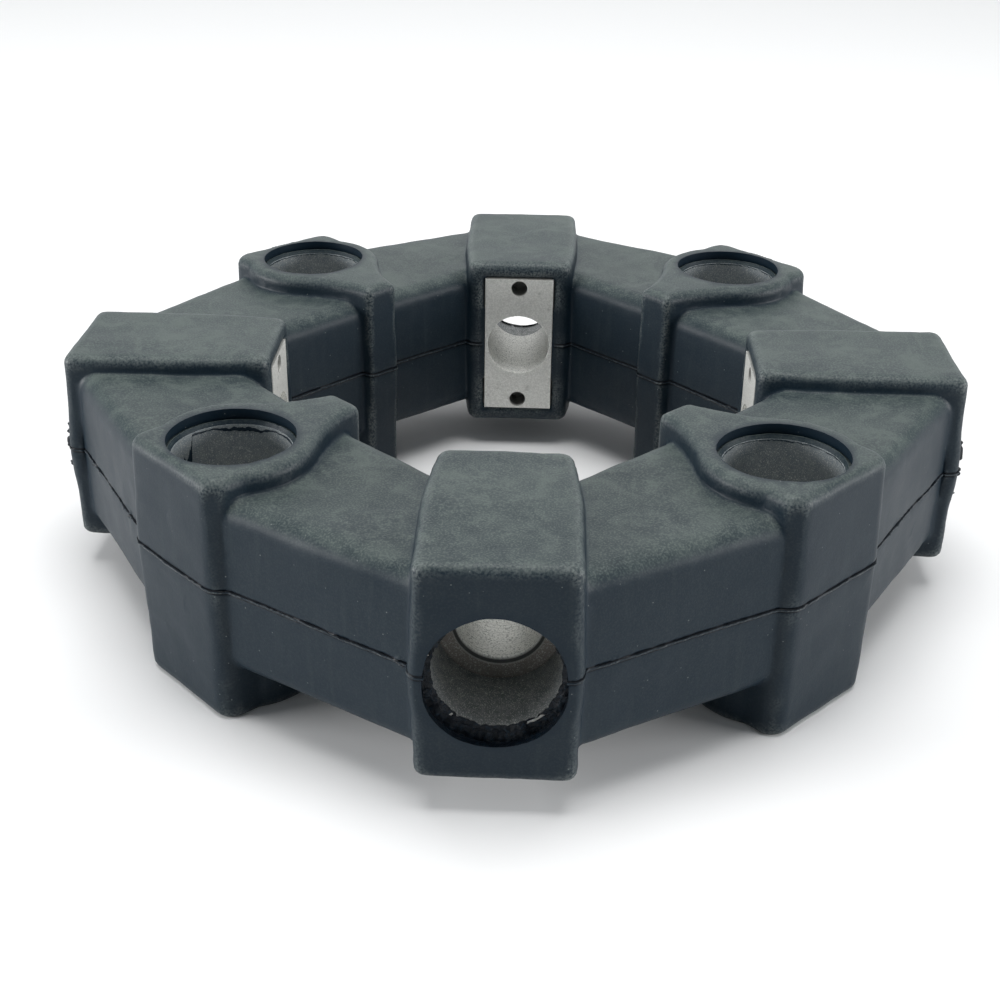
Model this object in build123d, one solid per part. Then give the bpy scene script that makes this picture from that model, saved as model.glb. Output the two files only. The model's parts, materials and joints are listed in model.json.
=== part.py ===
from build123d import *
import os
from math import cos, radians, sin, sqrt

# Flexible engine coupling: an eight-sided rubber ring moulded round eight aluminium inserts.
# Four hub inserts take screws that point at the axis. Four flange inserts, on the spokes between
# them, take screws parallel to the axis. Millimetres, and +Z is the axis of rotation. Everything
# is drawn round the parting plane of the mould, where the ring is widest, and is lifted when it
# is written, so that z = 0 is the flange face, on which the ring lies.

# Screws that the coupling is built round
bolt_circle_d = 215.0         # the four screws into the flywheel's flange
screw_hole_d = 23.0           # clearance for an M20 screw
head_recess_d = 33.5          # round the head of that screw

# Rubber links between the blocks
link_h = 51.6
link_edge_r = 5.6
link_root = 3.0               # how far the long sides of a link run on inside the blocks
mould_draft = 1.2             # degrees, away from the parting plane

# Radial blocks, which hold the hub inserts
radial_out = 33.1             # outer face, measured outwards from the bolt circle
radial_in = 31.3              # bare face that seats on the hub, measured inwards from it
radial_rise = 5.4             # how far top and underside stand clear of the links
radial_block_w = 42.4
radial_nose_w = 37.0          # width at the hub face
radial_taper_l = 32.0         # length of the curved taper behind the hub face
radial_corner_r = 2.6         # upright corners of the outer face
radial_nose_corner_r = 3.2    # upright corners of the hub face
radial_edge_break = 1.4       # bevel round the top and the underside
radial_outer_step = 5.0       # how far the outer face stands out of the links
radial_inner_step = 3.8       # how far the hub face stands into the space for the hub

# Axial blocks, which hold the flange inserts
axial_rise = 6.4
axial_foot = 16.7             # how far the underside, the flange face, stands below the links
axial_rim_wall = 4.5          # rubber between the opening and the bulging flank
axial_face_wall = 2.9         # rubber between the opening and the flat outer face
axial_shoulder = 1.7          # the outer face is this much narrower than the bulge, each side
axial_nose_l = 40.3           # bolt circle to the narrow nose inside the ring
axial_nose_w = 11.0
axial_flank_angle = 40.0      # degrees between spoke and flank where the bulge ends
axial_corner_r = 5.0
axial_edge_break = 1.6
axial_outer_step = 3.7
axial_inner_step = 4.0

# Screw seats, and the rubber lips over the ends of the inserts
radial_head_depth = 25.2      # outer face to the seat of the head
axial_head_depth = 26.0       # top to the seat of the head
seat_chamfer = 1.5
radial_rim_gap = 1.2          # metal that shows round the head recess
axial_rim_gap = 1.9
radial_lip = 3.4              # rubber over the end of the insert
axial_lip = 3.6

# Aluminium inserts
hub_window_w = 25.0           # bare face on the hub side
hub_window_frame = 5.2        # rubber above and below that face
hub_insert_skin = 2.0         # rubber beside the insert
flange_insert_skin = 2.8
flange_foot_skin = 5.0        # the same below the parting plane
pin_hole_d = 6.0              # pins in the mould held the insert here
pin_inset = 3.7               # end of the bare face to the pin
pin_hole_depth = 9.0

# Sizes that follow from those
spokes = 4
hub_angles = [i * 360 / spokes for i in range(spokes)]
flange_angles = [angle + 180 / spokes for angle in hub_angles]
bolt_r = bolt_circle_d / 2
outer_face_r = bolt_r + radial_out
hub_face_r = bolt_r - radial_in
radial_block_h = link_h + 2 * radial_rise
axial_top = link_h / 2 + axial_rise
axial_depth = link_h / 2 + axial_foot
radial_rim_d = head_recess_d + 2 * radial_rim_gap
axial_rim_d = head_recess_d + 2 * axial_rim_gap
bulge_r = axial_rim_d / 2 + axial_rim_wall
axial_face_r = bolt_r + axial_rim_d / 2 + axial_face_wall
axial_half_w = bulge_r - axial_shoulder
axial_nose_r = bolt_r - axial_nose_l
hub_insert_end_r = outer_face_r - radial_lip
hub_insert_h = radial_block_h - 2 * hub_window_frame
flange_insert_top = axial_top - axial_lip
flange_seat = axial_top - axial_head_depth


def along_spoke(along, across, angle):
    """A point given along and across a spoke, in the ring's own X and Y."""
    a = radians(angle)
    return (along * cos(a) - across * sin(a), along * sin(a) + across * cos(a))


def turned(shape, angle):
    return Rot(0, 0, angle) * shape


def standing(shape, *sizes):
    return shape(*sizes, align=(Align.CENTER, Align.CENTER, Align.MIN))


def mirrored_outline(half):
    """A closed outline from its upper half, which starts and ends on the spoke."""
    return make_face(half + [mirror(edge, about=Plane.XZ) for edge in half])


def upright_edges(shape):
    return shape.edges().filter_by(lambda edge: abs(edge.tangent_at(0.5).Z) > 0.9)


def top_edges(shape):
    return shape.faces().sort_by(Axis.Z)[-1].edges()


def sides(shape):
    return shape.faces().filter_by(lambda face: abs(face.normal_at().Z) < 0.5)


def upper_half(outline, height):
    """What the upper half of the mould forms: the sides lean in from the parting plane."""
    return draft(sides(extrude(outline, amount=height / 2)), Plane.XY, mould_draft)


def turned_over(shape):
    return mirror(shape, about=Plane.XY)


def both_halves(upper):
    return upper + turned_over(upper)


# Radial blocks
def radial_block():
    half, nose_half = radial_block_w / 2, radial_nose_w / 2
    bend_from = (hub_face_r + radial_taper_l, half)
    bend = TangentArc(bend_from, (hub_face_r, nose_half), tangent=(-1, 0))
    outline = mirrored_outline([
        Line((outer_face_r, 0), (outer_face_r, half)),
        Line((outer_face_r, half), bend_from),
        bend,
        Line(bend @ 1, (hub_face_r, 0)),
    ])
    upper = upper_half(outline, radial_block_h)
    upper = fillet(upright_edges(upper).group_by(Axis.X)[-1], radial_corner_r)
    upper = fillet(upright_edges(upper).group_by(Axis.X)[0], radial_nose_corner_r)
    return both_halves(chamfer(top_edges(upper), radial_edge_break))


# Axial blocks
def axial_outline():
    nose_half = axial_nose_w / 2
    lean = radians(axial_flank_angle)
    shoulder = (bolt_r + sqrt(bulge_r**2 - axial_half_w**2), axial_half_w)
    leave = (bolt_r - bulge_r * sin(lean), bulge_r * cos(lean))
    flank = TangentArc(leave, (axial_nose_r, nose_half), tangent=(-cos(lean), -sin(lean)))
    return mirrored_outline([
        Line((axial_face_r, 0), (axial_face_r, axial_half_w)),
        Line((axial_face_r, axial_half_w), shoulder),
        ThreePointArc(shoulder, (bolt_r, bulge_r), leave),
        flank,
        Line(flank @ 1, (axial_nose_r, 0)),
    ])


def axial_half(height):
    """The bulge and the hollow flanks stand upright. The flat sides have the draft."""
    upright = extrude(axial_outline(), amount=height)
    half = draft(sides(upright).filter_by(GeomType.PLANE), Plane.XY, mould_draft)
    half = fillet(upright_edges(half).group_by(Axis.X)[-1], axial_corner_r)
    return chamfer(top_edges(half), axial_edge_break)


def axial_block():
    return axial_half(axial_top) + turned_over(axial_half(axial_depth))


# Links
def link_side(on_radial, on_axial):
    """One long side of a link, run on at both ends into the blocks that it joins."""
    side = Line(
        along_spoke(*on_radial, hub_angles[0]),
        along_spoke(*on_axial, flange_angles[0]),
    )
    run_on = (side % 0) * link_root
    return side @ 0 - run_on, side @ 1 + run_on


def link():
    """The link between the first radial block and the first axial block."""
    outer = link_side(
        (outer_face_r - radial_outer_step, radial_block_w / 2),
        (axial_face_r - axial_outer_step, -axial_half_w),
    )
    inner = link_side(
        (hub_face_r + radial_inner_step, radial_nose_w / 2),
        (axial_nose_r + axial_inner_step, -axial_nose_w / 2),
    )
    hub_end = along_spoke(bolt_r, 0, hub_angles[0])
    flange_end = along_spoke(bolt_r, 0, flange_angles[0])
    outline = Polyline(hub_end, *outer, flange_end, *reversed(inner), close=True)
    upper = upper_half(make_face(outline), link_h)
    by_distance = top_edges(upper).sort_by(SortBy.DISTANCE)
    return both_halves(fillet([by_distance[0], by_distance[-1]], link_edge_r))


# Aluminium inserts
def stepped_hole(seat, length):
    """Clearance hole up to the seat of the screw head, then the recess round the head."""
    hole = standing(Cylinder, screw_hole_d / 2, seat)
    return hole + Pos(0, 0, seat) * standing(Cylinder, head_recess_d / 2, length - seat)


def hub_insert_body():
    """The casting before it is drilled: full width round the head recess, narrow at the hub."""
    half, window_half = radial_block_w / 2 - hub_insert_skin, hub_window_w / 2
    shoulder_r = hub_face_r + radial_taper_l
    outline = mirrored_outline([
        Line((hub_insert_end_r, 0), (hub_insert_end_r, half)),
        Line((hub_insert_end_r, half), (shoulder_r, half)),
        Line((shoulder_r, half), (hub_face_r, window_half)),
        Line((hub_face_r, window_half), (hub_face_r, 0)),
    ])
    return extrude(outline, amount=hub_insert_h / 2, both=True)


def hub_insert():
    seat = outer_face_r - radial_head_depth - hub_face_r
    hole = stepped_hole(seat, hub_insert_end_r - hub_face_r)
    hole += Pos(0, 0, seat - seat_chamfer) * standing(
        Cone, screw_hole_d / 2, screw_hole_d / 2 + seat_chamfer, seat_chamfer
    )
    insert = hub_insert_body() - Pos(hub_face_r, 0, 0) * (Rot(0, 90, 0) * hole)
    pin = Cylinder(pin_hole_d / 2, 2 * pin_hole_depth, rotation=(0, 90, 0))
    for side in (-1, 1):
        insert -= Pos(hub_face_r, 0, side * (hub_insert_h / 2 - pin_inset)) * pin
    return insert


def flange_insert_body():
    """The casting before it is drilled: it follows the rubber round it, with a slimmer foot."""
    body = extrude(offset(axial_outline(), amount=-flange_insert_skin), amount=flange_insert_top)
    foot = extrude(offset(axial_outline(), amount=-flange_foot_skin), amount=-axial_depth)
    return body + foot


def flange_insert():
    hole = stepped_hole(flange_seat + axial_depth, flange_insert_top + axial_depth)
    return flange_insert_body() - Pos(bolt_r, 0, -axial_depth) * hole


# Rubber ring
def rubber_ring():
    """Blocks and links in one piece, less each insert and the opening over its end."""
    radial, axial = radial_block(), axial_block()
    one_side = link()
    other_side = mirror(one_side, about=Plane.XZ)
    radial_opening = Rot(0, 90, 0) * standing(Cylinder, radial_rim_d / 2, 2 * radial_lip)
    axial_opening = standing(Cylinder, axial_rim_d / 2, 2 * axial_lip)
    radial_room = hub_insert_body() + Pos(hub_insert_end_r, 0, 0) * radial_opening
    axial_room = flange_insert_body() + Pos(bolt_r, 0, flange_insert_top) * axial_opening
    rubber, room = [], []
    for hub_angle, flange_angle in zip(hub_angles, flange_angles):
        rubber += [turned(shape, hub_angle) for shape in (radial, one_side, other_side)]
        rubber.append(turned(axial, flange_angle))
        room += [turned(radial_room, hub_angle), turned(axial_room, flange_angle)]
    return rubber[0].fuse(*rubber[1:]).cut(*room)


# Nodes
def write(name, shape):
    shape = Pos(0, 0, axial_depth) * shape
    export_step(shape, f"parts/{name}.step")
    print(name, round(shape.volume), "mm3")


os.makedirs("parts", exist_ok=True)
write("rubber_ring", rubber_ring())
for number, (hub_angle, flange_angle) in enumerate(zip(hub_angles, flange_angles), start=1):
    write(f"hub_insert_{number}", turned(hub_insert(), hub_angle))
    write(f"flange_insert_{number}", turned(flange_insert(), flange_angle))
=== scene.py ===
# %% [markdown]
# # A rubber coupling for an engine
# The part is a ring of black rubber that joins an engine's flywheel to a pump. Eight aluminium
# castings sit in it: four have a screw hole that points at the axis, four have one that runs
# along it. The rubber between them twists and swallows the shocks.
#
# The measured model comes from CAD and has the true sizes, with crisp edges and plain colours.
# One way to dress it is to model everything again by hand. Here the CAD model stays the
# skeleton: the castings keep their meshes and get a finish, and the rubber gets a new skin that
# is grown over the CAD solid, so that it can't drift away from the real sizes. The part is
# counted in millimetres, and the room round it in metres, as Blender counts.

# %% Load the measured model
import json
import math

import bmesh
import bpy
import numpy as np
from mathutils import Matrix, Vector
from mathutils.bvhtree import BVHTree


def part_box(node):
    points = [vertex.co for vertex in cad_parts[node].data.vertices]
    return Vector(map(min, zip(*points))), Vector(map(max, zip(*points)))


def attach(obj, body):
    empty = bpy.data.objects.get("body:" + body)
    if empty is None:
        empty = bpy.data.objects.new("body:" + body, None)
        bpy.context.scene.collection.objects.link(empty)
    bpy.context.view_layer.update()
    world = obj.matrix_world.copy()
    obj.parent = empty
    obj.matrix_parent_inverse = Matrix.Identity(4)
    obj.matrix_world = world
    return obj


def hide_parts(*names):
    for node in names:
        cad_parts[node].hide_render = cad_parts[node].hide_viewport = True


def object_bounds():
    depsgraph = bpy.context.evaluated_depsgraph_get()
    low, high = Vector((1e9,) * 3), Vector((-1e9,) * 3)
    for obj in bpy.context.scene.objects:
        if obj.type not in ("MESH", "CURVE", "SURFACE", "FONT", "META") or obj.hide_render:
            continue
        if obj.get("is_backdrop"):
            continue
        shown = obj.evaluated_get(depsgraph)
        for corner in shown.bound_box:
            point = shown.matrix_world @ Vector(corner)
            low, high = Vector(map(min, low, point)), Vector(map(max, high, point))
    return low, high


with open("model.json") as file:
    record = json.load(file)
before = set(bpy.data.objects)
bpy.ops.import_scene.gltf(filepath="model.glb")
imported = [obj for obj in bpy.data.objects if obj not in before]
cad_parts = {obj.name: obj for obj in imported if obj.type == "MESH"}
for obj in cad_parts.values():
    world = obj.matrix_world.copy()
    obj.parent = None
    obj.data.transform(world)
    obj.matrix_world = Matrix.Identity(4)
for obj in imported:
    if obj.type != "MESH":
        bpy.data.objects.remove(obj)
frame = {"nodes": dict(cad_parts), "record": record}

mm = 0.001
scene = bpy.context.scene
cad_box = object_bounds()
record = frame["record"]
mounts = {mount["name"]: mount for mount in record["mounts"]}
spokes = 4
hub_spokes = [math.radians(90 * i) for i in range(spokes)]
flange_spokes = [math.radians(90 * i + 45) for i in range(spokes)]


def place_mm(name):
    """Where a mount of the CAD record lies, in millimetres."""
    return np.array(mounts[name]["pos_m"]) / mm


parting = place_mm("hub_screw_1")[2]
print("CAD box in mm:", [[round(v / mm, 1) for v in corner] for corner in cad_box])
print("parting plane of the mould at", parting, "mm")

# %% [markdown]
# ## The camera
# A photograph fixes five things: how far away the camera stood, how high, from which side, how
# long its lens was, and how it was cropped. They could be found by sliding the camera about
# until the picture looks right. Here they were worked out from corners of the part whose sizes
# are known, and are kept as an angle and a distance round the middle of the ring. The small
# shift is the crop: the optical axis passed a little above the middle of the picture.

# %% Camera
picture_side = 1000
film_side = 36
focal_pixels = 1488.1
axis_row = 431.9
camera_distance = 491.7 * mm
camera_elevation = math.radians(25.60)
camera_azimuth = math.radians(1.714)
camera_roll = math.radians(0.842)
look_at = Vector((-4.1, 0, parting)) * mm
nearest_seen, farthest_seen = 0.01, 50


def photo_camera():
    """The camera of the photograph, turned about the vertical, lifted, and rolled a little."""
    lens = bpy.data.cameras.new("photo_camera")
    lens.sensor_width = film_side
    lens.lens = film_side * focal_pixels / picture_side
    lens.shift_y = (axis_row - picture_side / 2) / picture_side
    lens.clip_start, lens.clip_end = nearest_seen, farthest_seen
    level = math.cos(camera_elevation)
    back = Vector((
        math.sin(camera_azimuth) * level,
        -math.cos(camera_azimuth) * level,
        math.sin(camera_elevation),
    ))
    camera = bpy.data.objects.new("photo_camera", lens)
    upright = back.to_track_quat("Z", "Y").to_matrix().to_4x4()
    roll = Matrix.Rotation(camera_roll, 4, "Z")
    camera.matrix_world = Matrix.Translation(look_at + back * camera_distance) @ upright @ roll
    scene.collection.objects.link(camera)
    scene.camera = camera
    return camera


camera = photo_camera()
print("camera at, mm:", [round(v / mm, 1) for v in camera.matrix_world.translation])

# %% [markdown]
# ## Floor and light
# Black rubber has little colour of its own, so its shape shows by how much light each face
# gets. In the photograph the tops are a dull grey, the faces to the left and right a little
# darker, and those towards the camera nearly black. One lamp would leave hard shadows, and an
# even white sky would wash out every edge. So there are four soft panels in a dim room: one
# above and one behind for the tops, and two low ones for the sides. None stands in front.

# %% Floor and light
floor_side = 30.0
floor_white = 0.84
floor_roughness = 0.9
room_blue = (0.90, 0.96, 1.0)
room_light = 0.25


def pale_floor():
    """A sheet of paper as large as a room, at the height of the ring's underside."""
    mesh = bpy.data.meshes.new("floor")
    half = floor_side / 2
    corners = [(-half, -half, 0), (half, -half, 0), (half, half, 0), (-half, half, 0)]
    mesh.from_pydata(corners, [], [(0, 1, 2, 3)])
    floor = bpy.data.objects.new("floor", mesh)
    floor.location.z = cad_box[0][2]
    scene.collection.objects.link(floor)
    paper = bpy.data.materials.new("floor_paper")
    paper.use_nodes = True
    shader = paper.node_tree.nodes["Principled BSDF"]
    shader.inputs["Base Color"].default_value = (floor_white, floor_white, floor_white, 1)
    shader.inputs["Roughness"].default_value = floor_roughness
    mesh.materials.append(paper)
    floor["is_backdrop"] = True


def soft_panel(name, place, width, height, power):
    """A lamp as large as a table top that faces the middle of the ring."""
    light = bpy.data.lights.new(name, "AREA")
    light.shape = "RECTANGLE"
    light.size, light.size_y = width, height
    light.energy = power
    panel = bpy.data.objects.new(name, light)
    panel.location = place
    panel.rotation_euler = Vector(place).to_track_quat("Z", "Y").to_euler()
    scene.collection.objects.link(panel)


pale_floor()
soft_panel("panel_above", place=(0.0, 0.0, 1.5), width=1.0, height=0.9, power=20)
soft_panel("panel_behind", place=(0.0, 2.2, 0.95), width=3.6, height=1.5, power=22)
soft_panel("panel_left", place=(-1.8, -0.3, 0.40), width=1.1, height=0.5, power=33)
soft_panel("panel_right", place=(1.8, -0.3, 0.40), width=1.1, height=0.5, power=26)
scene.world = bpy.data.worlds.new("room")
scene.world.use_nodes = True
room = scene.world.node_tree.nodes["Background"]
room.inputs["Color"].default_value = (*room_blue, 1)
room.inputs["Strength"].default_value = room_light
scene.view_settings.view_transform = "Standard"

# %% [markdown]
# ## Writing materials as sums
# A material in Blender is a graph of small nodes. Wiring it by hand is quick for five nodes and
# hopeless for fifty. In Python every node can be made by one method, and a node's output can be
# wrapped so that plus, minus and times add the node that does the sum. A mask then reads like
# the formula that it is.


# %% Sockets that can stand in a sum
class Field:
    """A value that changes over the surface: one output of a node in a material."""

    def __init__(self, finish, socket):
        self.finish = finish
        self.socket = socket

    def sum(self, operation, *values):
        """Adds the Math node that does one sum, and returns what comes out of it."""
        return self.finish.node("Math", {"operation": operation}, dict(enumerate(values)))[0]

    def __add__(self, other):
        return self.sum("ADD", self, other)

    def __sub__(self, other):
        return self.sum("SUBTRACT", self, other)

    def __rsub__(self, other):
        return self.sum("SUBTRACT", other, self)

    def __mul__(self, other):
        return self.sum("MULTIPLY", self, other)

    def __pow__(self, other):
        return self.sum("POWER", self, other)

    def __abs__(self):
        return self.sum("ABSOLUTE", self)

    __radd__ = __add__
    __rmul__ = __mul__

    def step(self, start, end):
        """0 up to start, 1 from end on, and smooth between them. Start may be the larger one."""
        rising = {"From Min": start, "From Max": end, "Value": self}
        return self.finish.node("MapRange", {"interpolation_type": "SMOOTHSTEP"}, rising)[0]


print("operators of a field:", [name for name in vars(Field) if name.startswith("__")])

# %% A finish, written down layer by layer
speck_edge, speck_core = 0.24, 0.08


def as_colour(value):
    """A colour as a socket takes it: a field as it is, and three numbers with an alpha of 1."""
    return value if isinstance(value, Field) else (*value, 1.0)


class Finish:
    """A material whose graph is written in Python. Lengths in it are millimetres."""

    def __init__(self, name):
        self.material = bpy.data.materials.new(name)
        self.material.use_nodes = True
        self.tree = self.material.node_tree
        self.shader = self.tree.nodes["Principled BSDF"]
        place = self.node("TexCoord")["Object"]
        self.place = self.node("VectorMath", {"operation": "SCALE"}, {0: place, 3: 1 / mm})[0]
        self.x, self.y, self.z = self.split(self.place)
        self.upward = self.split(self.node("NewGeometry")["Normal"])[2]

    def node(self, kind, settings=None, inputs=None):
        """Makes a node, sets it up, fills or links its inputs, and returns its outputs."""
        made = self.tree.nodes.new("ShaderNode" + kind)
        for name, setting in (settings or {}).items():
            setattr(made, name, setting)
        for name, value in (inputs or {}).items():
            if isinstance(value, Field):
                self.tree.links.new(value.socket, made.inputs[name])
            else:
                made.inputs[name].default_value = value
        outputs = [socket for socket in made.outputs if socket.enabled]
        fields = {number: Field(self, socket) for number, socket in enumerate(outputs)}
        fields.update({socket.name: Field(self, socket) for socket in outputs})
        return fields

    def split(self, vector):
        parts = self.node("SeparateXYZ", inputs={0: vector})
        return parts["X"], parts["Y"], parts["Z"]

    def stretched(self, *factors):
        """Places for a texture that is drawn out where a factor is below 1."""
        return self.node("VectorMath", {"operation": "MULTIPLY"}, {0: self.place, 1: factors})[0]

    def noise(self, size, detail=3, place=None, distortion=0.0):
        """Soft noise about 0.5 whose lumps are size millimetres wide."""
        inputs = {
            "Vector": place or self.place,
            "Scale": 1 / size,
            "Detail": detail,
            "Distortion": distortion,
        }
        return self.node("TexNoise", inputs=inputs)[0]

    def specks(self, size, share):
        """Small dots in a share of the cells of a grid of random cells."""
        inputs = {"Vector": self.place, "Scale": 1 / size}
        cells = self.node("TexVoronoi", {"feature": "F1"}, inputs)
        lottery = self.node("SeparateColor", inputs={0: cells["Color"]})[0]
        dots = cells["Distance"].step(speck_edge, speck_core)
        return dots * lottery.step(1 - share, 1 - share / 2)

    def mix(self, first, second, factor):
        """A colour that goes from the first to the second as factor goes from 0 to 1."""
        inputs = {0: factor, 6: as_colour(first), 7: as_colour(second)}
        return self.node("Mix", {"data_type": "RGBA"}, inputs)[0]

    def stored(self, name):
        """Values that the script keeps on the mesh, read back by their name."""
        return self.node("Attribute", {"attribute_name": name})["Fac"]

    def bump(self, height):
        """The surface tilted as if raised by height, in millimetres."""
        return self.node("Bump", inputs={"Strength": 1.0, "Distance": mm, "Height": height})[0]

    def surface(self, **inputs):
        """Feeds the shader: what changes over the surface is linked, the rest is set on it."""
        for name, value in inputs.items():
            socket = self.shader.inputs[name.replace("_", " ").title().replace("Ior", "IOR")]
            if isinstance(value, Field):
                self.tree.links.new(value.socket, socket)
            else:
                socket.default_value = value
        return self.material


print("what a finish can do:", [name for name in vars(Finish) if not name.startswith("__")])

# %% [markdown]
# ## Black moulded rubber
# Natural rubber from a steel mould is nearly black, with a grain too fine to see one by one,
# and a pale bloom of wax and dust that gathers on whatever faces up and rubs grey on the
# edges. A single dark grey would look like plastic. So the colour is built in layers: the
# black, large soft clouds of bloom that faces pointing up get more of, partly as painted
# light, edges made paler as wear and as a painted highlight, painted shade in hollows and in
# the grooves by the parting line, faint runs down the upright faces, and a few pale specks.
# The grain itself is a bump, because it changes how light glances off.

# %% Rubber
rubber_black = (0.003, 0.011, 0.020)
# Near black: the colour of torn rubber, and painted shade in the grooves by the parting line.
torn_and_groove_shade_black = (0.001, 0.003, 0.006)
bloom_and_top_light_grey = (0.084, 0.104, 0.098)
wear_and_highlight_grey = (0.17, 0.19, 0.185)
speck_grey = (0.30, 0.32, 0.31)
rubber_shine = 0.20
bloom_and_light_on_sides = 0.06
runs_on_sides = 0.06
dust_on_sides = 0.07
line_wander = 0.12
groove_middle = 0.52
grain_height, dimple_height, cloud_height = 0.035, 0.04, 0.10


def rubber_finish():
    """The rubber's skin, from the black underneath to the specks that lie on it."""
    finish = Finish("moulded_rubber")
    clouds = finish.noise(size=30, detail=4, distortion=0.4)
    mottle = finish.noise(size=6, detail=5)
    grain = finish.noise(size=0.55, detail=4)
    runs = finish.noise(size=3.2, detail=3, place=finish.stretched(1, 1, 0.1))
    # Faces that point up get more bloom and dust: partly real dust, partly painted light that
    # makes the tops paler.
    top = finish.upward.step(0.25, 1.0)
    bloom_and_top_light = 0.2 + clouds.step(0.25, 0.8) * 0.3 + mottle.step(0.3, 0.8) * 0.25
    bloom_and_top_light = bloom_and_top_light + finish.noise(size=11, detail=6, distortion=1.5).step(0.45, 0.7) * 0.3
    bloom_and_top_light = bloom_and_top_light * (bloom_and_light_on_sides + (1 - bloom_and_light_on_sides) * top)
    bloom_and_top_light = bloom_and_top_light + runs.step(0.5, 0.8) * runs_on_sides * (1 - top)
    dust = grain.step(0.42, 0.70) * (dust_on_sides + 0.5 * top)
    # Painted shade along the parting line: no bloom is laid within about a millimetre of it, and
    # the grooves on both sides of the rib are painted near black.
    wander = finish.noise(size=1.5, detail=3) * (2 * line_wander) - line_wander
    from_line = abs(finish.z - parting + wander)
    # Painted shade: hollows and the walls of the openings get hardly any bloom, so they stay
    # black.
    bloom_and_top_light = (bloom_and_top_light + dust) * (1 - 0.9 * finish.stored("crease_shade")) * from_line.step(0.7, 1.3)
    tone = finish.mix(rubber_black, bloom_and_top_light_grey, bloom_and_top_light)
    # Paler where the skin bends outwards, as wear and as a painted highlight, and on the rib's
    # crown as a painted highlight.
    wear_and_highlight = finish.stored("wear_and_highlight") * finish.noise(size=0.7, detail=4).step(0.3, 0.7)
    tone = finish.mix(tone, wear_and_highlight_grey, wear_and_highlight * 0.75)
    tone = finish.mix(tone, speck_grey, finish.specks(size=1.1, share=0.03) * 0.35)
    groove_shade = abs(from_line - groove_middle).step(0.38, 0.2)
    tone = finish.mix(tone, torn_and_groove_shade_black, groove_shade * finish.stored("rib"))
    gloss = 0.40 + mottle * 0.12 + bloom_and_top_light * 0.10
    height = grain * grain_height + finish.noise(size=2.6, detail=3) * dimple_height
    height = height + clouds * cloud_height
    return finish.surface(
        base_color=tone,
        specular_ior_level=rubber_shine,
        roughness=gloss,
        normal=finish.bump(height),
    )


rubber = rubber_finish()
print("nodes in the rubber:", len(rubber.node_tree.nodes))

# %% [markdown]
# ## Torn rubber
# Where a film of rubber was torn off, the fresh surface is blacker than the old skin, rough and
# a little wet looking, as no bloom has come out on it yet. It could be a layer of the same
# material. A second, smaller one keeps the first one readable, and a face has either one or
# the other.

# %% Torn rubber
shred_size = 1.1
shred_height = 0.6


def torn_finish():
    """Rubber where it was torn: blacker than its skin, wet looking, and rough."""
    finish = Finish("torn_rubber")
    shreds = finish.noise(size=shred_size, detail=5, distortion=0.8)
    tone = finish.mix(torn_and_groove_shade_black, rubber_black, shreds.step(0.45, 0.75))
    return finish.surface(
        base_color=tone,
        specular_ior_level=rubber_shine,
        roughness=0.28 + shreds * 0.3,
        normal=finish.bump(shreds * shred_height),
    )


torn_rubber = torn_finish()
print("nodes in the torn rubber:", len(torn_rubber.node_tree.nodes))

# %% [markdown]
# ## Cast and drilled aluminium
# The castings show only where rubber leaves them bare: the walls and seats of the screw
# recesses, and the flat faces that sit on the hub. Bare faces are dull and grainy, the walls of
# the recesses are stained dark by the moulding and their seats brown, and the drilled hole is
# bright, and paler still from painted light that falls in from its far end. A ring of painted
# shade lies on the chamfer between each seat and its hole. One material could be painted by
# hand on each face. Here the material works out for itself where it is, from how far a point
# lies from the axis of its screw, and how high over the seat of the screw's head.

# %% Where a point lies on its casting
bolt_r = mounts["flange_bolts"]["dims"]["pcd_mm"] / 2
screw_r = mounts["hub_screw_1"]["dims"]["r_mm"]
recess_r = mounts["hub_head_1"]["dims"]["r_mm"]
hub_seat = place_mm("hub_head_1")[0] - mounts["hub_head_1"]["dims"]["length_mm"] / 2
flange_seat = place_mm("flange_head_1")[2] - mounts["flange_head_1"]["dims"]["length_mm"] / 2


def hub_axis(finish):
    """Distance from the axis of a hub casting's screw, which lies along x or along y."""
    narrow = finish.node("Math", {"operation": "MINIMUM"}, {0: abs(finish.x), 1: abs(finish.y)})[0]
    level = finish.z - parting
    return (narrow * narrow + level * level) ** 0.5


def above_hub_seat(finish):
    """Height over the seat of that screw's head, outwards."""
    wide = finish.node("Math", {"operation": "MAXIMUM"}, {0: abs(finish.x), 1: abs(finish.y)})[0]
    return wide - hub_seat


def flange_axis(finish):
    """Distance from the axis of a flange casting's screw, which stands upright."""
    along = (abs(finish.x) + abs(finish.y)) * math.sqrt(0.5) - bolt_r
    across = (abs(finish.x) - abs(finish.y)) * math.sqrt(0.5)
    return (along * along + across * across) ** 0.5


def above_flange_seat(finish):
    """Height over the seat of that screw's head, upwards."""
    return finish.z - flange_seat


bare_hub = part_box("hub_insert_1")[0][0] / mm - hub_seat
bare_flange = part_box("flange_insert_1")[0][2] / mm - flange_seat
print("bare faces from the seats, mm:", round(bare_hub, 1), round(bare_flange, 1))

# %% Aluminium
metal_grey = (0.57, 0.57, 0.54)
pale_metal_and_light = (0.90, 0.90, 0.86)
stain_dark = (0.15, 0.165, 0.17)
stain_blue = (0.25, 0.285, 0.305)
seat_brown = (0.26, 0.225, 0.19)
# Near black: soot and stains on the metal, and painted shade on the chamfers round the holes.
soot_and_shade_black = (0.012, 0.014, 0.015)
sand_height, pit_height = 0.06, 0.04


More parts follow.
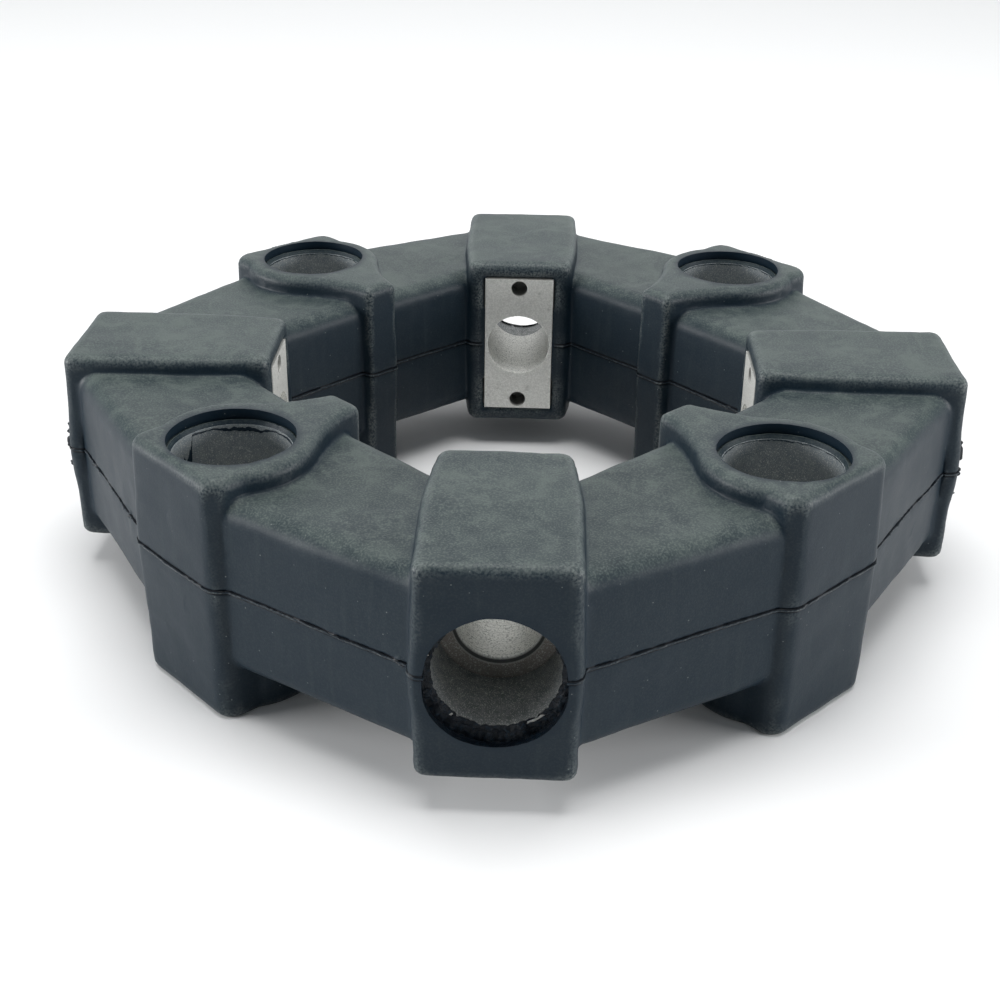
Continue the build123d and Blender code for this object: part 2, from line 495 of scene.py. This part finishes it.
def metal_finish(name, off_axis, above_seat, bare_face, stain):
    """The finish of a casting, by how far a point is from its screw's axis and over its seat."""
    finish = Finish(name)
    away, above = off_axis(finish), above_seat(finish)
    inside = away.step(recess_r + 0.5, recess_r + 0.1)
    in_recess = inside * above.step(-0.6, 0.2)
    in_hole = away.step(screw_r + 0.3, screw_r + 0.1)
    on_seat = in_recess * above.step(0.5, 0.2)
    mottle = finish.noise(size=2.6, detail=5)
    fine = finish.noise(size=0.5, detail=2)
    # The hole's wall is paler: drilled metal, and painted light that falls in from the hole's far
    # end.
    tone = finish.mix(metal_grey, pale_metal_and_light, fine.step(0.35, 0.7) * 0.4 + in_hole * 0.6)
    tone = finish.mix(tone, stain, in_recess * (0.85 + 0.15 * mottle.step(0.3, 0.7)))
    tone = finish.mix(tone, seat_brown, on_seat * 0.8)
    sparks = finish.noise(size=0.32, detail=2).step(0.55, 0.68)
    tone = finish.mix(tone, pale_metal_and_light, in_recess * sparks * 0.6)
    # Painted shade: a dark ring on the chamfer between the seat and the hole.
    round_hole = away.step(screw_r + 1.3, screw_r + 1.0)
    chamfer_shade = round_hole * above.step(-1.3, -0.9) * above.step(0.5, 0.2)
    tone = finish.mix(tone, soot_and_shade_black, chamfer_shade * 0.9)
    tone = finish.mix(tone, soot_and_shade_black, (1 - inside) * mottle.step(0.60, 0.72) * 0.25)
    # Outside the recess the metal is made darker from 0.6 mm past its bare face on, fully from 2.5
    # mm.
    deep = (1 - inside) * above.step(bare_face + 0.6, bare_face + 2.5)
    tone = finish.mix(tone, soot_and_shade_black, deep * 0.6)
    rings = finish.node("TexNoise", {"noise_dimensions": "1D"}, {"W": above, "Scale": 1.4})[0]
    tone = finish.mix(tone, soot_and_shade_black, in_hole * rings.step(0.48, 0.62) * 0.15)
    tone = finish.mix(tone, soot_and_shade_black, in_hole * fine.step(0.48, 0.34) * 0.4)
    height = fine * sand_height + mottle * pit_height
    return finish.surface(
        base_color=tone,
        metallic=0.5,
        roughness=0.45 + mottle * 0.2,
        normal=finish.bump(height),
    )


hub_metal = metal_finish("hub_casting", hub_axis, above_hub_seat, bare_hub, stain_dark)
flange_metal = metal_finish(
    "flange_casting", flange_axis, above_flange_seat, bare_flange, stain_blue
)
castings = {name: node for name, node in frame["nodes"].items() if "insert" in name}
for name, node in castings.items():
    node.data.materials.clear()
    node.data.materials.append(hub_metal if name.startswith("hub") else flange_metal)
print("castings with a finish:", sorted(castings))

# %% [markdown]
# ## The rubber's skin
# The CAD solid has the right form, but its edges are knife sharp and its faces dead flat, which
# rubber never is. A bevel on every edge would do for a simple box, but where links, blocks and
# openings meet, bevels collide. A voxel remesh doesn't care: it wraps the solid in a net of
# even squares, which can then be softened everywhere at once.

# %% Grow the skin over the CAD solid
voxel = 0.9 * mm
weld = 0.001 * mm


def applied(piece):
    """Turns a piece's modifiers into its mesh."""
    graph = bpy.context.evaluated_depsgraph_get()
    mesh = bpy.data.meshes.new_from_object(piece.evaluated_get(graph))
    piece.modifiers.clear()
    piece.data = mesh


def welded_copy(node, name):
    """A copy of a CAD node whose faces share their corners, as the remesh needs."""
    mesh = bpy.data.meshes.new(name)
    work = bmesh.new()
    work.from_mesh(frame["nodes"][node].data)
    bmesh.ops.remove_doubles(work, verts=work.verts, dist=weld)
    work.to_mesh(mesh)
    work.free()
    piece = bpy.data.objects.new(name, mesh)
    scene.collection.objects.link(piece)
    return piece


ring = welded_copy("rubber_ring", "moulded_ring")
remesh = ring.modifiers.new("net", "REMESH")
remesh.mode = "VOXEL"
remesh.voxel_size = voxel
applied(ring)
print("squares in the net:", len(ring.data.polygons))

# %% [markdown]
# ## The eight openings
# Most of the fine work happens where a screw goes through the rubber. There a point is best
# described by its angle round the opening, its distance from the axis and its height over the
# end of the casting. One small class turns points into these three numbers and back, so that a
# torn edge can be written as a sum over angles, for an opening that faces any way. The radius
# of each rim and the depth of its lip are those of the CAD solid.

# %% Where the openings are
hub_rim_r = 17.95
flange_rim_r = 18.65
radial_lip = 3.4
axial_lip = 3.6
face_lean = math.radians(1.2)
face_slope = math.tan(face_lean)
hub_end = place_mm("hub_head_1")[0] + mounts["hub_head_1"]["dims"]["length_mm"] / 2
flange_end = place_mm("flange_head_1")[2] + mounts["flange_head_1"]["dims"]["length_mm"] / 2
upright = np.array([0, 0, 1.0])


class Opening:
    """A round opening in the rubber, whose own axes point right, up and out of it."""

    def __init__(self, kind, number):
        self.kind, self.number = kind, number
        angle = (hub_spokes if kind == "hub" else flange_spokes)[number]
        along = np.array([math.cos(angle), math.sin(angle), 0])
        right = np.array([-math.sin(angle), math.cos(angle), 0])
        if kind == "hub":
            self.rim_r, self.lip = hub_rim_r, radial_lip
            self.centre = along * hub_end + upright * parting
            self.axes = np.array([right, upright, along])
        else:
            self.rim_r, self.lip = flange_rim_r, axial_lip
            self.centre = along * bolt_r + upright * flange_end
            self.axes = np.array([right, -along, upright])

    def polar(self, points):
        """Angle round the opening, distance from its axis, and height over the casting."""
        across, level, height = ((points - self.centre) @ self.axes.T).T
        return np.arctan2(level, across) % (2 * math.pi), np.hypot(across, level), height

    def points(self, angles, away, height):
        """The way back: points of the ring, from the three numbers."""
        local = [np.cos(angles) * away, np.sin(angles) * away, height + 0 * angles]
        return self.centre + np.stack(local, axis=-1) @ self.axes

    def over_face(self, angles, away, height):
        """Height over the face round the opening, which leans back from the parting plane."""
        slope = face_slope if self.kind == "hub" else 0
        return height - self.lip + slope * abs(np.sin(angles) * away)


openings = [Opening(kind, number) for kind in ("hub", "flange") for number in range(spokes)]
print("openings:", [(opening.kind, opening.number) for opening in openings])

# %% [markdown]
# ## Soft edges, sharp rims
# The rubber's edges are round, as a worn mould leaves them, but the rims of the openings were
# cut and are sharp. A modifier that smooths would round them all. So the points are smoothed as
# a list of numbers: twice each point moves halfway towards the middle of its neighbours, and
# points near a rim skip that and are put exactly on the wall of the opening or on the flat face
# round it.

# %% A mesh as lists of numbers


def points_of(mesh):
    """The points of a mesh in millimetres, one in each row."""
    flat = np.empty(3 * len(mesh.vertices))
    mesh.vertices.foreach_get("co", flat)
    return flat.reshape(-1, 3) / mm


def normals_of(mesh):
    flat = np.empty(3 * len(mesh.vertices))
    mesh.vertex_normals.foreach_get("vector", flat)
    return flat.reshape(-1, 3)


def set_points(mesh, points):
    mesh.vertices.foreach_set("co", (points * mm).ravel())
    mesh.update()


def edges_of(mesh):
    flat = np.empty(2 * len(mesh.edges), dtype=np.int64)
    mesh.edges.foreach_get("vertices", flat)
    return flat.reshape(-1, 2)


def neighbour_mean(values, edges):
    """For each point, the mean of the values of the points that share an edge with it."""
    total = np.zeros_like(values)
    count = np.bincount(edges.ravel(), minlength=len(values))
    for here, there in ((0, 1), (1, 0)):
        for column in range(values.shape[1]):
            moved = values[edges[:, there], column]
            total[:, column] += np.bincount(edges[:, here], moved, len(values))
    return total / count[:, None]


points, edges = points_of(ring.data), edges_of(ring.data)
print("points and edges in the net:", len(points), len(edges))

# %% Points near a rim
rim_reach = {"hub": 0.75, "flange": 0.55}
flat_beside = 1.6
crisp_foot = -0.6


def distance_to_rims(points):
    """Millimetres from each point to the nearest edge between a wall and a face."""
    nearest = np.full(len(points), np.inf)
    for opening in openings:
        angles, away, height = opening.polar(points)
        over = opening.over_face(angles, away, height)
        nearest = np.minimum(nearest, np.hypot(away - opening.rim_r, over))
    return nearest


def crisp_rim(opening, points):
    """Puts points near a rim on its wall, on the flat face round it, or on the edge of both."""
    angles, away, height = opening.polar(points)
    over = opening.over_face(angles, away, height)
    reach = rim_reach[opening.kind]
    wall = (height > crisp_foot) & (over < reach) & (abs(away - opening.rim_r) < reach)
    beside = (away > opening.rim_r - reach) & (away < opening.rim_r + flat_beside)
    flat = beside & (abs(over) < reach)
    away = np.where(wall, opening.rim_r, away)
    height = np.where(flat, height - opening.over_face(angles, away, height), height)
    moved = wall | flat
    points[moved] = opening.points(angles, away, height)[moved]


from_rims = distance_to_rims(points)
print("points within a millimetre of a rim:", int((from_rims < 1).sum()))

# %% Soften the net but not the rims
rounds_of_softening = 2
crisp_within, softening_width = 0.8, 1.6

soft = points
for _ in range(rounds_of_softening):
    soft = (soft + neighbour_mean(soft, edges)) / 2
share = np.clip((from_rims - crisp_within) / softening_width, 0, 1)[:, None]
points = points * (1 - share) + soft * share
for opening in openings:
    crisp_rim(opening, points)
set_points(ring.data, points)
print("points on the rims:", int((distance_to_rims(points) < 0.01).sum()))

# %% [markdown]
# ## Cuts along the parting plane
# The mould's two halves meet halfway up the links, and a little rubber creeps between them. It
# leaves a rib half a millimetre wide, far narrower than a square of the net. A finer net would
# cost millions of squares. Slicing the net a few times near that height gives it rows of points
# just where the rib needs them.

# %% Slice the net where the rib will be
rib_rows = (0.0, 0.28, 0.45, 0.8)
sliced_within = 3.0
snapping = 0.06


def slice_level(work, height):
    """Cuts the faces near one height along it. Points that almost lie on it are used."""
    level = height * mm
    near = [face for face in work.faces if abs(face.verts[0].co.z - level) < sliced_within * mm]
    geometry = {item for face in near for item in (face, *face.edges, *face.verts)}
    bmesh.ops.bisect_plane(
        work,
        geom=list(geometry),
        dist=snapping * mm,
        plane_co=(0, 0, level),
        plane_no=(0, 0, 1),
    )


work = bmesh.new()
work.from_mesh(ring.data)
for row in rib_rows:
    for height in {parting + row, parting - row}:
        slice_level(work, height)
work.to_mesh(ring.data)
work.free()
print("faces after slicing:", len(ring.data.polygons))

# %% [markdown]
# ## What is free to move
# From here each effect is a sum over the list of points. Where rubber is bonded to a casting
# nothing may move. Those points could be picked by hand, but how far each point is from the
# nearest casting finds them all, and lets each effect fade out on its way to the metal. The
# points move along their normals, so beside a rim those are made exact, or the sharp edge
# would fray.

# %% Measure the skin
measured_up_to = 3.0
bonded_within, freed_over = 0.6, 1.2
on_it = 0.02
rim_foot = -0.7


def distance_to_castings(points, reach):
    """Millimetres from each point to the nearest casting, up to reach."""
    work = bmesh.new()
    for node in castings.values():
        work.from_mesh(node.data)
    tree = BVHTree.FromBMesh(work)
    work.free()
    found = (tree.find_nearest(Vector(point), reach * mm)[3] for point in points * mm)
    return np.array([reach if distance is None else distance / mm for distance in found])


def square_to_rim(opening, points, normals):
    """Makes the normals near a rim exact: into the opening on its wall, outwards beside it."""
    angles, away, height = opening.polar(points)
    over = opening.over_face(angles, away, height)
    right, up, out = opening.axes
    inwards = -np.outer(np.cos(angles), right) - np.outer(np.sin(angles), up)
    beside = (away > opening.rim_r - on_it) & (away < opening.rim_r + flat_beside)
    flat = beside & (abs(over) < on_it)
    wall = (abs(away - opening.rim_r) < on_it) & (height > rim_foot) & (over < on_it)
    exact = inwards * wall[:, None] + out * flat[:, None]
    normals[wall | flat] = exact[wall | flat]


points, normals = points_of(ring.data), normals_of(ring.data)
for opening in openings:
    square_to_rim(opening, points, normals)
clear = distance_to_castings(points, reach=measured_up_to)
free = np.clip((clear - bonded_within) / freed_over, 0, 1)
print("share of the skin that isn't bonded:", (free > 0.5).mean().round(2))

# %% [markdown]
# ## Full and wavy faces
# The rubber in the photograph is a little fuller than the plain solid, and its faces are never
# quite flat: light runs over them in soft, uneven bands. They could be sculpted with a brush.
# Waves in many random directions, added up, give the same calm hills everywhere at once, and a
# fixed seed gives the same hills on each run. Three lengths of wave are laid over each other,
# and the longest is the highest.

# %% Full and wavy faces
chance = np.random.default_rng(7)
fullness = 0.6
face_waves = ((38, 0.10), (14, 0.05), (5, 0.02))
underside = cad_box[0][2] / mm


def waves(points, length, count=20):
    """Smooth random heights, mostly from -1 to 1, with hills about a length apart."""
    directions = chance.normal(size=(count, 3))
    directions *= 2 * math.pi / length / np.linalg.norm(directions, axis=1)[:, None]
    phases = chance.uniform(0, 2 * math.pi, count)
    return np.sin(points @ directions.T + phases).sum(axis=1) / math.sqrt(count / 2)


wavy = sum(height * waves(points, length) for length, height in face_waves)
points += normals * ((fullness + wavy) * free)[:, None]
points[:, 2] = np.maximum(points[:, 2], underside)
print("waves in mm, from and to:", wavy.min().round(2), wavy.max().round(2))

# %% [markdown]
# ## The rib of the parting line
# The rubber that crept between the halves of the mould stands up as a thin rib with a shallow
# groove on either side. It is uneven, and here and there it has a lump. A bump in the material
# would do from afar, but this rib shows in the outline of the ring. So the rows of points that
# were sliced in are lifted or sunk along a profile, and waves make it stronger and weaker.

# %% The rib of the parting line
rib_height = 0.34
rib_edge = 1.3
rib_clearance = 0.9
usual_strength = 0.9
rib_waves = ((9, 0.15), (2.6, 0.2), (1.3, 0.15))


def rib_profile(offset):
    """Height of rib and grooves, as a share of the rib, by distance from the parting plane."""
    return np.interp(abs(offset), (*rib_rows, rib_edge), (1.0, 0.7, -0.8, -0.4, 0.0))


offset = points[:, 2] - parting
near_rib = (abs(offset) < rib_edge) & (clear > rib_clearance)
banks = points[near_rib]
strength = sum((share * waves(banks, length) for length, share in rib_waves), usual_strength)
lumps = np.clip(waves(banks, 17) - 1.3, 0, 1) * np.clip(waves(banks, 1.8), 0, 2)
rise = rib_height * (rib_profile(offset[near_rib]) * np.clip(strength, 0.25, 2) + lumps)
outwards = normals[near_rib] * (1, 1, 0)
points[near_rib] += outwards * rise[:, None]
crown = np.zeros(len(points))
crown[near_rib] = np.clip(rib_profile(offset[near_rib]), 0, 1)
print("points in the rib and its grooves:", int(near_rib.sum()))

# %% [markdown]
# ## Openings pulled out of round
# When the film of rubber over a casting is cut or torn away, the edge of the opening goes with
# it. On top the openings are only a little out of round. In the outer faces one side is torn
# back, by three millimetres in the front one and by less in the others. Cutting new holes into
# the net would lose its even squares. The points near an opening are pulled outwards instead,
# by how far the edge is torn in their direction, and less the farther out they lie.

# %% Openings pulled out of round
pulled_within, pulled_band, pull_fades = 6, 9, 5.5
milder = 0.55
front = 3
tear_angles = np.radians([0, 60, 120, 180, 215, 240, 270, 305, 335, 360])
tear_depths = (0.4, 0.1, 0.3, 0.9, 2.5, 3.2, 3.0, 2.7, 1.5, 0.4)


def tear(opening, angles):
    """How far the edge of an opening is pulled outwards, by direction."""
    number = opening.number
    if opening.kind == "flange":
        return 0.18 * np.sin(2 * angles + number) + 0.12 * np.sin(3 * angles + 2 * number)
    turn = 0 if number == front else 1.3 + 1.7 * number
    share = 1.0 if number == front else milder
    return share * np.interp((angles + turn) % (2 * math.pi), tear_angles, tear_depths)


torn = np.zeros(len(points))
walls = np.zeros(len(points))
off_rim = np.clip(distance_to_rims(points) / 2 - 1, 0, 1)
for opening in openings:
    angles, away, height = opening.polar(points)
    reach, lip = opening.rim_r + pulled_within, opening.lip
    near = (height > rim_foot) & (height < lip + 2) & (away < reach) & (away > reach - pulled_band)
    angles, away, height = angles[near], away[near], height[near]
    pull = tear(opening, angles)
    away = away + pull * np.clip((reach - away) / pull_fades, 0, 1)
    points[near] = opening.points(angles, away, height)
    walls[near] = (away < opening.rim_r + pull + 0.2) & (height < lip + 1)
    if opening.kind == "hub":
        torn[near] = walls[near]
set_points(ring.data, points)
print("torn points:", int(torn.sum()))

# %% [markdown]
# ## Pale edges and shaded hollows
# Where the skin bends outwards it is made paler, as wear and as a painted highlight, and where
# it bends inwards it is kept black as painted shade, as are the walls of the openings. That
# could be painted on by hand, but the shape itself knows where its edges are. How much it bends
# at a point is the distance from the point to the mean of its neighbours, measured along the
# normal. It is stored on the mesh under a name, and the material reads it back by that name.

# %% Measure how the skin bends
edge_bend, hollow_bend = 0.18, 0.10
# The rib's crown is made paler as a painted highlight.
crown_highlight = 0.12


def bending(mesh, spread):
    """How far each point stands out of its surroundings, in millimetres."""
    points, edges = points_of(mesh), edges_of(mesh)
    for _ in range(2):
        points = neighbour_mean(points, edges)
    out = (points_of(mesh) - points) * normals_of(mesh)
    out = out.sum(axis=1, keepdims=True)
    for _ in range(spread):
        out = neighbour_mean(out, edges)
    return out[:, 0]


def store(mesh, name, values):
    """Keeps one number for each point on the mesh, under a name."""
    layer = mesh.attributes.new(name, "FLOAT", "POINT")
    layer.data.foreach_set("value", values.astype(np.float32))


bend = bending(ring.data, spread=1)
# Outward bends are made paler as wear and as a painted highlight, and the rib's crown as a painted
# highlight.
wear_and_highlight = np.clip(bend / edge_bend - 0.35, 0, 1) * off_rim + crown_highlight * crown
stored = {
    "wear_and_highlight": wear_and_highlight,
    # Hollows and the walls of the openings, kept black as painted shade.
    "crease_shade": np.maximum(np.clip(-bend / hollow_bend - 0.2, 0, 1), walls),
    "rib": free,
    "torn": torn,
}
for name, values in stored.items():
    store(ring.data, name, values)
print("bend in mm, from and to:", bend.min().round(3), bend.max().round(3))

# %% [markdown]
# ## Fewer triangles
# The net has the same small squares on a flat face as round an edge. A coarser net from the
# start would have lost the edges. Collapsing what is flat first leaves the detail where the
# shape turns. The rows of the rib are marked so that they are kept.

# %% Thin out the flat faces
skin_triangles = 135_000

keep = ring.vertex_groups.new(name="keep")
keep.add(np.flatnonzero(near_rib).tolist(), 1.0, "REPLACE")
thin = ring.modifiers.new("thin", "DECIMATE")
thin.vertex_group = "keep"
thin.invert_vertex_group = True
thin.vertex_group_factor = 1.0
thin.ratio = skin_triangles / (2 * len(ring.data.polygons))
thin.use_collapse_triangulate = True
applied(ring)
print("triangles in the skin:", len(ring.data.polygons))

# %% [markdown]
# ## Torn skin round the openings
# The mould closes on the end of each casting, and a film of rubber gets between. It is cut away
# afterwards and leaves a ragged collar that hides the casting's rim. It could be a bump, but in
# the photograph it throws shadows and has an edge of its own. So each collar is a closed tube
# whose outline is drawn once and then roughened all the way round. Round the openings in the
# outer faces it was torn, black and shredded. On top it was cut clean, to a ledge with a bead,
# and in one of the openings a smear of it is left that hangs far down the wall.

# %% A tube round an opening
collar_steps = 280
buried = -0.25


def ragged(angles, slowest, fastest):
    """Random waves round a circle, rough at every scale, mostly from -1 to 1."""
    turns = np.arange(slowest, fastest)
    phases = chance.uniform(0, 2 * math.pi, len(turns))
    total = (np.sin(np.outer(angles, turns) + phases) / turns**0.6).sum(axis=1)
    return total / (2 * total.std())


def collar(opening, outline_of):
    """Points of one collar, steps round the opening by corners of its outline."""
    angles = np.linspace(0, 2 * math.pi, collar_steps, endpoint=False)
    edge = opening.rim_r + tear(opening, angles)
    outline = outline_of(opening, angles, edge)
    return np.stack([opening.points(angles, away, height) for away, height in outline], axis=1)


print("steps round a collar:", collar_steps)

# %% Torn collars in the outer faces


def torn_outline(opening, angles, edge):
    """Corners of a shredded collar: distance from the axis, and height over the casting."""
    crest = np.clip(0.9 + 0.7 * ragged(angles, 3, 70), 0.25, 2.4)
    inner = recess_r - 0.40 + 0.35 * np.clip(ragged(angles, 6, 90), -0.7, 2)
    shelf = np.maximum(recess_r + 0.9 + 0.35 * ragged(angles, 4, 60), inner + 0.15)
    shreds = ragged(angles, 8, 110)
    standing = 0.0 if opening.number == front else 1.5
    flash = opening.lip - 0.2 + standing * np.clip(0.75 + 0.8 * ragged(angles, 5, 90), 0.1, 1.2)
    return [
        (edge + 1.3, buried),
        (edge + 0.7, flash - 0.8),
        (edge + 0.15, flash),
        (edge - 0.15, flash - 0.5),
        (edge - 0.3 - 0.2 * abs(shreds), crest + 0.05),
        ((edge + shelf) / 2 + 0.5, crest + 0.15 * shreds),
        ((edge + shelf) / 2 - 0.3, crest - 0.15 * shreds),
        (shelf, crest - 0.1),
        (shelf - 0.12, crest - 0.45),
        (inner, 0.12 + 0.06 * shreds),
        (inner + 0.05, buried),
    ]


collars = [collar(opening, torn_outline) for opening in openings if opening.kind == "hub"]
print("points in a torn collar:", collars[0].size // 3)

# %% Cut collars on top
smeared = 2
smear_angles = np.radians([0, 105, 115, 150, 165, 189, 193, 250, 256, 360])
smear_depths = (0.4, 0.5, 1.6, 1.6, 0.5, 0.6, 12.0, 12.0, 0.5, 0.4)


def cut_outline(opening, angles, edge):
    """Corners of a collar that was cut to a ledge, with a bead and a film that hangs inside."""
    ledge = 0.95 + 0.08 * ragged(angles, 3, 50)
    shelf = recess_r + 0.75 + 0.10 * ragged(angles, 3, 50)
    film = recess_r - 0.12 + 0.05 * ragged(angles, 6, 60)
    drop = 0.5 + 0.25 * ragged(angles, 3, 90)
    if opening.number == smeared:
        drop = drop + np.interp(angles, smear_angles, smear_depths)
    drop = np.clip(drop, 0.1, None)
    return [
        (edge + 1.3, buried),
        (edge + 1.3, ledge - 0.1),
        (edge - 0.4, ledge),
        (shelf + 1.1, ledge - 0.15),
        (shelf + 0.7, ledge - 0.30),
        (shelf + 0.45, ledge + 0.15),
        (shelf + 0.1, ledge + 0.15),
        (shelf - 0.05, ledge - 0.2),
        (film + 0.25, 0.1),
        (film, -drop),
        (recess_r + 0.1, -drop - 0.05),
    ]


collars += [collar(opening, cut_outline) for opening in openings if opening.kind == "flange"]
print("collars:", len(collars))

# %% [markdown]
# ## One piece of rubber
# On the real part the skin, the rib and the collars are one moulding. Joining objects with
# Blender's own command keeps them apart inside one mesh just the same, and needs a selection.
# Here the lists of points and faces are put one behind the other, each face with the number of
# its material. Then the piece takes the place of the plain CAD solid: that node is hidden, and
# the piece rides on the root body.

# %% Faces of the skin and the collars
torn_above = 0.8


def tube_faces(steps, corners, first):
    """Four-cornered faces of a tube that closes on itself both ways."""
    index = first + np.arange(steps * corners).reshape(steps, corners)
    beside = np.roll(index, -1, axis=0)
    loops = (index, beside, np.roll(beside, -1, axis=1), np.roll(index, -1, axis=1))
    return np.stack(loops, axis=-1).reshape(-1, 4)


def joined(skin, tubes):
    """One mesh of the skin and the collars. The second material is for what is torn."""
    corners = np.empty(3 * len(skin.polygons), dtype=np.int64)
    skin.loops.foreach_get("vertex_index", corners)
    faces = corners.reshape(-1, 3)
    values = {}
    for name in stored:
        values[name] = np.empty(len(skin.vertices), dtype=np.float32)
        skin.attributes[name].data.foreach_get("value", values[name])
    material = [(values["torn"][faces].min(axis=1) > torn_above).astype(np.int32)]
    blocks, loops, first = [points_of(skin)], faces.tolist(), len(skin.vertices)
    for opening, tube in zip(openings, tubes):
        ends = tube_faces(*tube.shape[:2], first)
        loops += ends.tolist()
        material.append(np.full(len(ends), opening.kind == "hub", dtype=np.int32))
        blocks.append(tube.reshape(-1, 3))
        first += len(blocks[-1])
    whole = bpy.data.meshes.new("moulded_ring")
    whole.from_pydata((np.vstack(blocks) * mm).tolist(), [], loops)
    for name in ("wear_and_highlight", "crease_shade", "rib"):
        extra = np.zeros(first - len(skin.vertices))
        store(whole, name, np.concatenate([values[name], extra]))
    whole.polygons.foreach_set("material_index", np.concatenate(material))
    return whole


ring.vertex_groups.clear()
ring.data = joined(ring.data, collars)
print("points in the whole ring:", len(ring.data.vertices))

# %% Put the ring in its place
sharp_from = math.radians(50)

ring.data.materials.append(rubber)
ring.data.materials.append(torn_rubber)
ring.data.validate()
ring.data.shade_smooth()
ring.data.set_sharp_from_angle(angle=sharp_from)
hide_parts("rubber_ring")
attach(ring, "root")
triangles = sum(len(face.vertices) - 2 for face in ring.data.polygons)
print("triangles in the ring:", triangles)

# %% [markdown]
# ## Done
# The box round the dressed part is written beside the box of the CAD model, to see at a glance
# how closely the skin still follows it.

# %% Write the sizes and finish
boxes = {"cad": cad_box, "visual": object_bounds()}
boxes = {name: [[float(v) for v in corner] for corner in box] for name, box in boxes.items()}
for name, box in boxes.items():
    print(name, "box in mm:", [[round(v / mm, 2) for v in corner] for corner in box])
